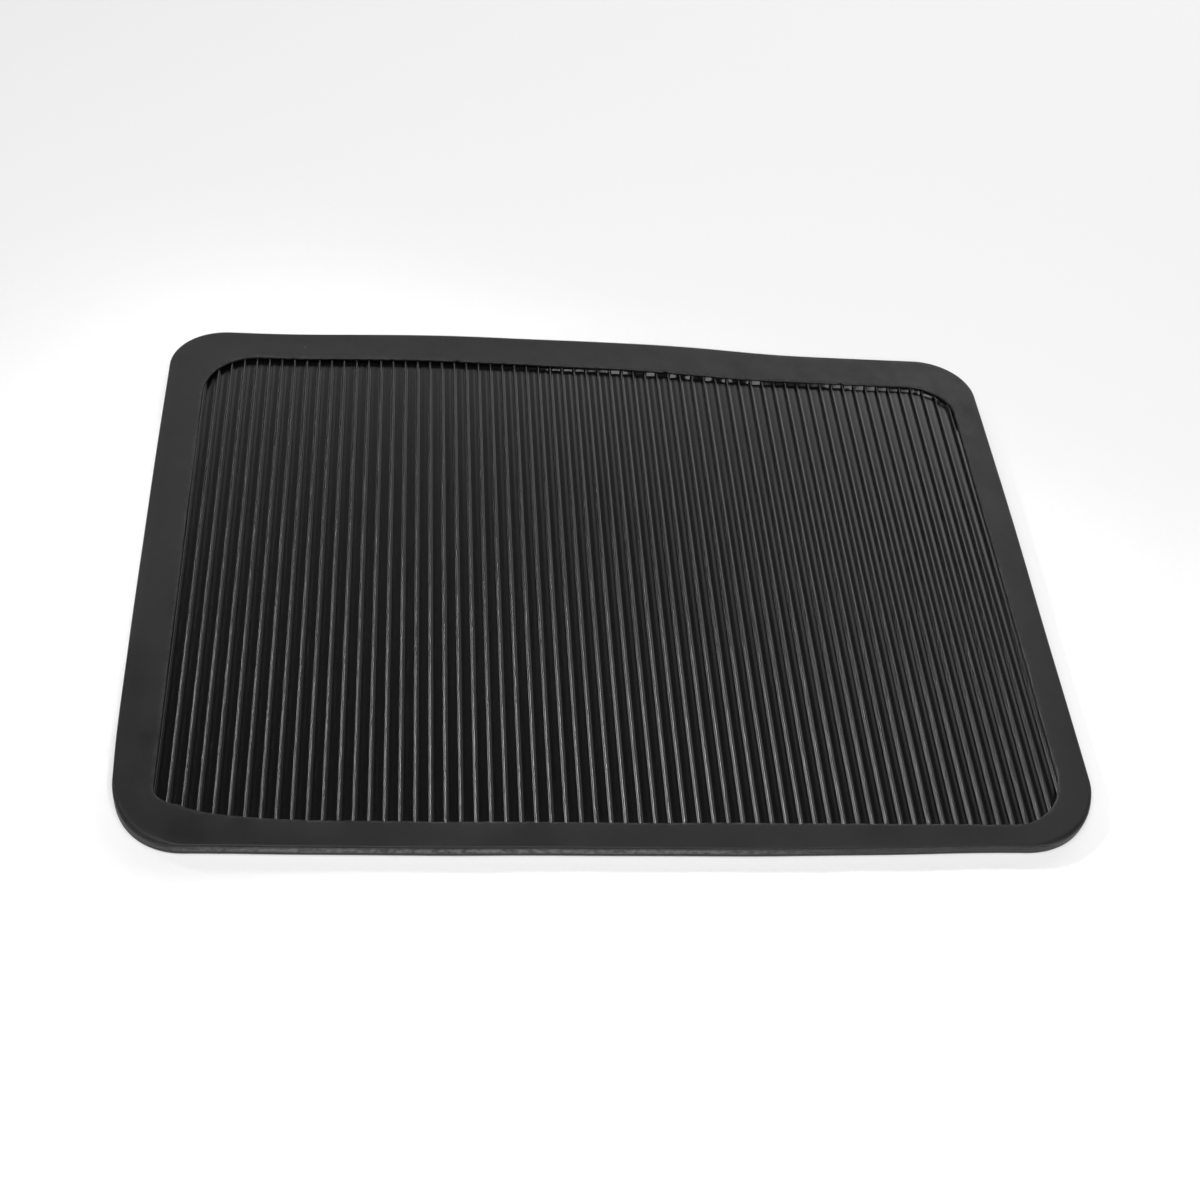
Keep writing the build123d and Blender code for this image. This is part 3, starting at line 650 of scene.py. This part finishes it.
def build_border():
    """The border as one closed ring: lip, top, wall, underside and pocket."""
    lip, lip_normals = lip_outline()
    wall, wall_normals = wall_outline()
    pocket, pocket_normals = outline(SHEET, (SHEET_RADIUS,) * 4, LONG_STEPS, SHORT_STEPS, ARC_STEPS)
    pocket = pocket + pocket_normals * POCKET_GAP
    rows, wear_and_sheen = [], []

    def row(points, z, wear_and_sheen_amount):
        rows.append(np.column_stack([points, z + np.zeros(len(points))]))
        wear_and_sheen.append(wear_and_sheen_amount + np.zeros(len(points)))

    row(pocket, CREST_Z, 0.0)
    row(lip, CREST_Z, 0.0)
    row(lip, CREST_Z + LIP_STEP, WALL_WEAR)
    radius = lip_radii(lip, lip_normals)
    for angle in quarter(LIP_EDGE_STEPS):
        points = lip + lip_normals * (radius * (1.0 - math.cos(angle)))[:, None]
        row(points, TOP_Z - radius * (1.0 - math.sin(angle)), LIP_WEAR * math.sin(angle))

    inner = lip + lip_normals * radius[:, None]
    diagonal = np.abs(wall_normals[:, 0] * wall_normals[:, 1])
    at_corner = (wall[:, 1] < 0.0) * smooth_step(CORNER_SHARPNESS * diagonal)
    rounding = TOP_EDGE_RADIUS + CORNER_WEAR * at_corner
    outer = wall - wall_normals * rounding[:, None]
    swell = waves(SWELL_SEED, TOP_SWELL_LENGTHS)
    for index in range(1, TOP_ROWS):
        t = index / TOP_ROWS
        points = inner + (outer - inner) * t
        unevenness = TOP_SWELL * swell(points[:, 0], points[:, 1]) - TOP_HOLLOW
        row(points, TOP_Z + unevenness * math.sin(math.pi * t), 0.0)
    for angle in quarter(TOP_EDGE_STEPS):
        points = outer + wall_normals * (rounding * math.sin(angle))[:, None]
        row(points, TOP_Z - rounding * (1.0 - math.cos(angle)), EDGE_WEAR * math.sin(2.0 * angle))

    edge_z = TOP_Z - rounding - UNDERCUT_START
    undercut = UNDERCUT_DEPTH * (1.0 - at_corner)[:, None] * wall_normals
    row(wall, edge_z, 0.0)
    row(wall - undercut, edge_z - UNDERCUT_UPPER, 0.0)
    row(wall - undercut, edge_z - UNDERCUT_LOWER, 0.0)
    wall_high_z = edge_z - UNDERCUT_END
    row(wall - UNDERCUT_LEFT * undercut, wall_high_z, WALL_WEAR)
    wall_low_z = SEAM_Z + WALL_LOW
    # Painted sheen: a paler band on the front-facing wall, in place of the pale floor's reflection in it
    facing_front = np.maximum(-wall_normals[:, 1], 0.0) ** FRONT_POWER
    front_sheen = facing_front * hump(wall[:, 0], FRONT_SHEEN_MIDDLE_X, FRONT_SHEEN_HALF_LENGTH, FRONT_SHEEN_POWER)
    for share, wear_and_sheen_amount in FRONT_SHEEN_ROWS:
        row(wall, wall_high_z + (wall_low_z - wall_high_z) * share, WALL_WEAR + wear_and_sheen_amount * front_sheen)
    for inset, height in WALL_FOOT:
        row(wall - wall_normals * inset, SEAM_Z + height, 0.0)
    row(pocket, SEAM_Z, 0.0)

    vertices = np.stack(rows, 1).reshape(-1, 3)
    faces = [face[::-1] for face in ring_faces(len(lip), len(rows), True)]
    piece = new_piece("border", vertices, faces, SLAB_SHARP_ANGLE)
    paint(piece, "wear_and_sheen", np.stack(wear_and_sheen, 1).ravel())
    return piece


# ---- the ribbed sheet ----

# The section, from a rib's middle outward: a domed crest, a flank, a short root and the groove's floor.
# The steps are the places of its vertices, in mm.
DOME_HALF_WIDTH = 0.45 * MM
DOME_DROP = 0.20 * MM
FLANK_FOOT = 1.15 * MM
FOOT_HEIGHT = 0.12 * MM
ROOT_END = 1.65 * MM
FLOOR_CROWN = 0.24 * MM
SECTION_STEPS = (0.0, 0.12, 0.24, 0.32, 0.39, 0.45, 0.51, 0.8, 1.15, 1.35, 1.65, 2.1, 2.6, 3.05, 3.5)
SIDE_MARGIN = 0.05 * MM

# Rows along the ribs: distances from each end in mm, and how many steps lie between
END_ROWS = (0.0, 1.5, 2.6, 3.4, 4.2, 5.0, 5.8, 6.6, 7.4, 8.2, 9.0, 10.0, 11.2, 13.0, 17.0)
MIDDLE_ROWS = 36

# Where on the rib's height the crest begins, and how the ribs differ and wander
RIB_SEED = 11
CREST_FOOT = 0.76
CREST_BLEND = 0.14
CREST_SINK = 0.05 * MM
LEAN = 0.05 * MM
TALLER = 0.03 * MM
WANDER = 0.008 * MM
WANDER_LENGTH = 74.0 * MM
WANDER_SHORT_LENGTH = 31.0 * MM
WANDER_SHORT_SHARE = 0.6
BUMP = 0.004 * MM
BUMP_LENGTH = 19.0 * MM

# The groove's floor goes nearly flat towards the rear right
LEVEL_SHARE = 0.8
LEVEL_FROM_X = -20.0 * MM
LEVEL_FROM_Y = 10.0 * MM
LEVEL_LENGTH = 120.0 * MM

# The grooves' rear ends fill up towards the lip, more to the right and less in the corner
FILL_SHARE = 0.92
FILL_LEFT = 0.10
FILL_MORE = 0.85
FILL_FROM_X = -90.0 * MM
FILL_LENGTH = 160.0 * MM
FILL_CORNER_LESS = 0.25
FILL_CORNER_X = 207.0 * MM
FILL_CORNER_LENGTH = 10.0 * MM
RAMP_START = 1.3 * MM
RAMP_LENGTH = 1.0 * MM

# The last groove on the right is filled beside the lip, up to near the rear
BESIDE_START = 3.6 * MM
BESIDE_LENGTH = 2.2 * MM
BESIDE_REAR_Y = 145.0 * MM
BESIDE_FADE = 20.0 * MM

# A nub on each crest just before the lip, and how near the lip the sheet has to stay under it
NUB_HEIGHT = 0.7 * MM
NUB_LEAST = 0.2
NUB_PLACE = 1.3 * MM
NUB_WIDTH = 0.8 * MM
REAR_LIP_REACH = 0.4 * MM
FRONT_LIP_REACH = LIP_OVERLAP - 0.5 * MM
UNDER_LIP_Z = CREST_Z - 0.05 * MM


def floor_crown(distance):
    """How far the groove's floor rises between two ribs."""
    return FLOOR_CROWN * smooth_step((distance - ROOT_END) / (RIB_PITCH / 2 - ROOT_END))


def rib_height(offset):
    """The section's height over the groove, at a distance from a rib's middle."""
    distance = np.abs(offset)
    shoulder = RIB_HEIGHT - DOME_DROP
    dome = RIB_HEIGHT - DOME_DROP * (distance / DOME_HALF_WIDTH) ** 2
    down = (distance - DOME_HALF_WIDTH) / (FLANK_FOOT - DOME_HALF_WIDTH)
    flank = shoulder + (FOOT_HEIGHT - shoulder) * down
    root = FOOT_HEIGHT * ((ROOT_END - distance) / (ROOT_END - FLANK_FOOT)) ** 2
    return np.select(
        [distance <= DOME_HALF_WIDTH, distance <= FLANK_FOOT, distance <= ROOT_END],
        [dome, flank, root],
        floor_crown(distance),
    )


def side_ends(x, shape, radius):
    """The low and high y of a rounded rectangle at x."""
    low_x, high_x, low_y, high_y = shape
    into_corner = np.maximum(np.maximum(low_x + radius - x, x - (high_x - radius)), 0.0)
    drop = radius - np.sqrt(np.maximum(radius ** 2 - into_corner ** 2, 0.0))
    return low_y + drop, high_y - drop


def section_columns():
    """The x of each column of vertices across the section, and the rib that each belongs to."""
    half = np.array(SECTION_STEPS) * MM
    offsets = np.concatenate([-half[:0:-1], half])
    columns, ribs = [], []
    for index in range(-1, RIB_COUNT + 1):
        centre = FIRST_RIB_X + index * RIB_PITCH
        columns.append(centre - RIB_PITCH / 2)
        columns.extend(centre + offsets)
        ribs.extend([index] * (len(offsets) + 1))
    columns, ribs = np.array(columns), np.array(ribs)
    inside = (columns > sheet_low.x + SIDE_MARGIN) & (columns < sheet_high.x - SIDE_MARGIN)
    columns = np.concatenate([[sheet_low.x], columns[inside], [sheet_high.x]])
    ribs = np.concatenate([[-1], ribs[inside], [RIB_COUNT]])
    return columns, ribs


def column_rows(columns):
    """The y of each row of vertices along each column, closer together near the sheet's ends."""
    low_y, high_y = side_ends(columns, SHEET, SHEET_RADIUS)
    ends = np.array(END_ROWS) * MM
    share = np.arange(1, MIDDLE_ROWS) / MIDDLE_ROWS
    front = low_y[:, None] + ends[None, :]
    rear = high_y[:, None] - ends[None, ::-1]
    middle = front[:, -1:] + (rear[:, :1] - front[:, -1:]) * share[None, :]
    return np.concatenate([front, middle, rear], 1)


def close_ends(columns, y, z, height, nubs):
    """Fills the grooves towards the lip, adds the nubs, and keeps the sheet's edge below the lip."""
    rear_end = side_ends(columns, FIELD, LIP_RADII[1])[1] + rear_lip_shift(columns)
    from_lip = rear_end[:, None] - y
    filled = FILL_LEFT + FILL_MORE * smooth_step((columns - FILL_FROM_X) / FILL_LENGTH)
    in_corner = smooth_step((columns - FILL_CORNER_X) / FILL_CORNER_LENGTH)
    filled = filled * (1.0 - FILL_CORNER_LESS * in_corner)
    ramp = smooth_step((RAMP_START - from_lip) / RAMP_LENGTH)
    beside = smooth_step((BESIDE_START - (FIELD[1] - columns)) / BESIDE_LENGTH)[:, None]
    beside = beside * smooth_step((BESIDE_REAR_Y - y) / BESIDE_FADE)
    ramp = np.maximum(ramp * filled[:, None], beside)
    z = z + (RIB_HEIGHT - height)[:, None] * ramp * FILL_SHARE
    z = z + NUB_HEIGHT * nubs[:, None] * hump(from_lip, NUB_PLACE, NUB_WIDTH)
    under_lip = (from_lip < REAR_LIP_REACH) | (y - y[:, :1] < FRONT_LIP_REACH)
    return np.where(under_lip, np.minimum(z, UNDER_LIP_Z), z)


def sheet_surface(columns):
    """The upper surface's x, y and z at each column and row, and how far each column is crest."""
    y = column_rows(columns)
    rib = np.clip(np.round((columns - FIRST_RIB_X) / RIB_PITCH), 0, RIB_COUNT - 1).astype(int)
    offset = columns - (FIRST_RIB_X + rib * RIB_PITCH)
    height = rib_height(offset)
    rise = height / RIB_HEIGHT
    crest = smooth_step((rise - CREST_FOOT) / CREST_BLEND)

    random = np.random.default_rng(RIB_SEED)
    shift = random.uniform(0.0, 2.0 * math.pi, (RIB_COUNT, 3))[rib]
    lean = random.normal(0.0, LEAN, RIB_COUNT)[rib]
    taller = random.normal(0.0, TALLER, RIB_COUNT)[rib]
    nub = random.uniform(NUB_LEAST, 1.0, RIB_COUNT)[rib]

    wander = np.sin(2.0 * math.pi * y / WANDER_LENGTH + shift[:, :1])
    short_wander = np.sin(2.0 * math.pi * y / WANDER_SHORT_LENGTH + shift[:, 1:2])
    wander = wander + WANDER_SHORT_SHARE * short_wander
    x = columns[:, None] + rise[:, None] * (WANDER * wander + lean[:, None])
    x[0], x[-1] = columns[0], columns[-1]

    bump = BUMP * np.sin(2.0 * math.pi * y / BUMP_LENGTH + shift[:, 2:])
    z = GROOVE_Z + height[:, None] + crest[:, None] * (bump + taller[:, None] - CREST_SINK)
    level = smooth_step((columns - LEVEL_FROM_X) / LEVEL_LENGTH)[:, None]
    level = level * smooth_step((y - LEVEL_FROM_Y) / LEVEL_LENGTH)
    z = z - LEVEL_SHARE * floor_crown(np.abs(offset))[:, None] * level
    return x, y, close_ends(columns, y, z, height, crest * nub), crest


def sheet_faces(count, rows, marks):
    """Faces of the upper surface, of the underside between the marked columns, and of the sides."""
    last = rows - 1
    below = count * rows
    faces = []
    for column in range(count - 1):
        here, after = column * rows, (column + 1) * rows
        for line in range(last):
            faces.append((here + line, after + line, after + line + 1, here + line + 1))
    for mark in range(len(marks) - 1):
        here, after = below + mark * rows, below + (mark + 1) * rows
        for line in range(last):
            faces.append((here + line, here + line + 1, after + line + 1, after + line))
        span = range(marks[mark], marks[mark + 1] + 1)
        faces.append((here, after) + tuple(column * rows for column in reversed(span)))
        faces.append((after + last, here + last) + tuple(column * rows + last for column in span))
    low_end, high_end = below + (len(marks) - 1) * rows, (count - 1) * rows
    for line in range(last):
        faces.append((below + line, line, line + 1, below + line + 1))
        faces.append((low_end + line, low_end + line + 1, high_end + line + 1, high_end + line))
    return faces


def build_ribbed_sheet():
    """The ribbed sheet: columns of vertices across the section, row by row along Y, on a flat underside."""
    columns, ribs = section_columns()
    x, y, z, crest = sheet_surface(columns)
    count, rows = y.shape
    changes = [column for column in range(1, count - 1) if ribs[column] != ribs[column - 1]]
    marks = [0] + changes + [count - 1]
    marked_x = np.repeat(columns[marks][:, None], rows, 1)
    top = np.stack([x, y, z], 2).reshape(-1, 3)
    bottom = np.stack([marked_x, y[marks], np.full(marked_x.shape, sheet_low.z)], 2).reshape(-1, 3)
    faces = sheet_faces(count, rows, marks)
    piece = new_piece("ribs", np.concatenate([top, bottom]), faces, RIB_SHARP_ANGLE)
    paint(piece, "crest", np.concatenate([np.repeat(crest, rows), np.zeros(len(bottom))]))
    return piece


# ---- the base ----

BASE_RINGS = 10
BOTTOM_EDGE_RADIUS = 1.5 * MM
BOTTOM_EDGE_STEPS = 5
SEAM_DROP = 0.3 * MM
SEAM_INSET = 0.25 * MM
PLATE_RADIUS = 3.0 * MM
PLATE_MARGIN = 0.1 * MM
FILM_INSET = 2.0 * MM

# Cutters: steps of their corners, and how far they reach past what they cut
LOOP_ARC_STEPS = 6
CUT_MARGIN = 1.0 * MM
CUT_OUTWARD = 5.0 * MM


def build_base():
    """The base sheet: a slab with a rounded lower edge."""
    wall, normals = wall_outline()
    rows = []

    def row(points, z):
        rows.append(np.column_stack([points, np.full(len(points), z)]))

    low_inner = wall - normals * BOTTOM_EDGE_RADIUS
    for index in range(1, BASE_RINGS):
        row(low_inner * index / BASE_RINGS, base_low.z)
    for angle in quarter(BOTTOM_EDGE_STEPS):
        outward = BOTTOM_EDGE_RADIUS * math.sin(angle)
        row(low_inner + normals * outward, base_low.z + BOTTOM_EDGE_RADIUS * (1.0 - math.cos(angle)))
    row(wall, base_high.z - SEAM_DROP)
    row(wall - normals * SEAM_INSET, base_high.z)
    for index in range(BASE_RINGS - 1, 0, -1):
        row(low_inner * index / BASE_RINGS, base_high.z)
    stations, count = len(wall), len(rows)
    vertices = np.stack(rows, 1).reshape(-1, 3)
    faces = ring_faces(stations, count, False)
    faces.append([station * count for station in range(stations)][::-1])
    faces.append([station * count + count - 1 for station in range(stations)])
    return new_piece("base", vertices, faces, SLAB_SHARP_ANGLE)


def build_film():
    """The bond film between the base and the border: a thin slab just inside the wall."""
    wall, normals = wall_outline()
    edge = wall - normals * FILM_INSET
    count = len(edge)
    lower = np.column_stack([edge, np.full(count, film_low.z)])
    upper = np.column_stack([edge, np.full(count, film_high.z)])
    faces = [list(range(count))[::-1], list(range(count, 2 * count))]
    for index in range(count):
        following = (index + 1) % count
        faces.append((index, following, count + following, count + index))
    return new_piece("bond_film", np.concatenate([lower, upper]), faces, SLAB_SHARP_ANGLE)


def rounded_loop(low_a, high_a, low_b, high_b, radius):
    """A rounded rectangle as a plain list of points."""
    points = outline((low_a, high_a, low_b, high_b), (radius,) * 4, 1, 1, LOOP_ARC_STEPS)[0]
    return [tuple(point) for point in points.tolist()]


def cut_gland_hole(piece):
    """Takes the gland's passage through the rear wall out of a piece."""
    loop = rounded_loop(
        gland_middle.x - GLAND_WIDTH / 2,
        gland_middle.x + GLAND_WIDTH / 2,
        gland_low.z,
        gland_high.z,
        GLAND_CORNER_RADIUS,
    )
    cut(piece, prism("gland_cutter", loop, gland_low.y - CUT_MARGIN, gland_high.y + CUT_OUTWARD, "Y"))


# ---- build ----

border = build_border()
ribs = build_ribbed_sheet()
base = build_base()
film = build_film()
for piece in (border, base, film):
    cut_gland_hole(piece)
plate_loop = rounded_loop(
    plate_low.x - PLATE_MARGIN,
    plate_high.x + PLATE_MARGIN,
    plate_low.y - PLATE_MARGIN,
    plate_high.y + PLATE_MARGIN,
    PLATE_RADIUS,
)
cut(base, prism("plate_cutter", plate_loop, base_low.z - CUT_MARGIN, plate_high.z, "Z"))

finish_piece(border, "root", "border_rubber", "border_frame")
finish_piece(ribs, "root", "ribbed_rubber", "ribbed_sheet")
finish_piece(base, "root", "base_rubber", "base_sheet")
finish_piece(film, "root", "adhesive", "base_bond_film")

replaced = {"border_frame", "ribbed_sheet", "base_sheet", "base_bond_film"}
for subpart in frame["record"]["subparts"]:
    if subpart["node"] in replaced:
        continue
    node = frame["nodes"][subpart["node"]]
    node.data.materials.clear()
    node.data.materials.append(MATERIALS[subpart["material_slot"]])


# ---- floor, light and camera ----

FLOOR_SIZE = 8.0
FLOOR_DROP = 0.2 * MM
FLOOR_GREY = 0.95
WORLD_STRENGTH = 0.01
MIDDLE = (0.0, 0.0, 0.0)

# Lights: name, place, the point that it faces, width, height, power and spread in degrees
LIGHTS = (
    ("key", (-0.2, -1.2, 2.2), MIDDLE, 2.4, 2.4, 76.0, 180.0),
    ("rear_left_panel", (-0.463, 2.177, 1.06), MIDDLE, 2.08, 0.75, 11.5, 180.0),
    ("rear_right_panel", (1.320, 1.690, 1.090), MIDDLE, 2.00, 0.80, 16.5, 180.0),
    ("left_lamp", (-1.02, 0.62, 0.73), (0.045, -0.10, 0.0), 0.28, 0.28, 0.40, 18.5),
)


def add_floor():
    """A wide pale floor."""
    bpy.ops.mesh.primitive_plane_add(size=FLOOR_SIZE, location=(0.0, 0.0, -FLOOR_DROP))
    floor = bpy.context.object
    floor.name = "floor"
    shader = Shader("floor", 0.9, specular=0.2)
    shader.colour(grey(FLOOR_GREY))
    floor.data.materials.append(shader.material)


def add_light(name, place, target, width, height, power, spread):
    """A soft rectangular light that faces a point."""
    data = bpy.data.lights.new(name, "AREA")
    data.shape = "RECTANGLE"
    data.size = width
    data.size_y = height
    data.energy = power
    data.spread = math.radians(spread)
    lamp = bpy.data.objects.new(name, data)
    lamp.location = place
    lamp.rotation_euler = (Vector(target) - Vector(place)).to_track_quat("-Z", "Y").to_euler()
    bpy.context.scene.collection.objects.link(lamp)


def add_camera():
    """The camera, turned by its azimuth, elevation and roll."""
    azimuth = math.radians(CAMERA_AZIMUTH)
    elevation = math.radians(CAMERA_ELEVATION)
    roll = math.radians(CAMERA_ROLL)
    data = bpy.data.cameras.new("camera")
    data.lens = CAMERA_LENS
    data.sensor_width = CAMERA_SENSOR
    camera = bpy.data.objects.new("camera", data)
    turn = (
        Matrix.Rotation(-azimuth, 4, "Z")
        @ Matrix.Rotation(math.pi / 2 - elevation, 4, "X")
        @ Matrix.Rotation(roll, 4, "Z")
    )
    camera.matrix_world = Matrix.Translation(CAMERA_PLACE) @ turn
    bpy.context.scene.collection.objects.link(camera)
    bpy.context.scene.camera = camera


add_floor()
for light in LIGHTS:
    add_light(*light)

world = bpy.data.worlds.new("world")
world.use_nodes = True
background = world.node_tree.nodes["Background"]
background.inputs["Color"].default_value = (1.0, 1.0, 1.0, 1.0)
background.inputs["Strength"].default_value = WORLD_STRENGTH
bpy.context.scene.world = world
bpy.context.scene.view_settings.view_transform = "Standard"

add_camera()

bpy.context.view_layer.update()
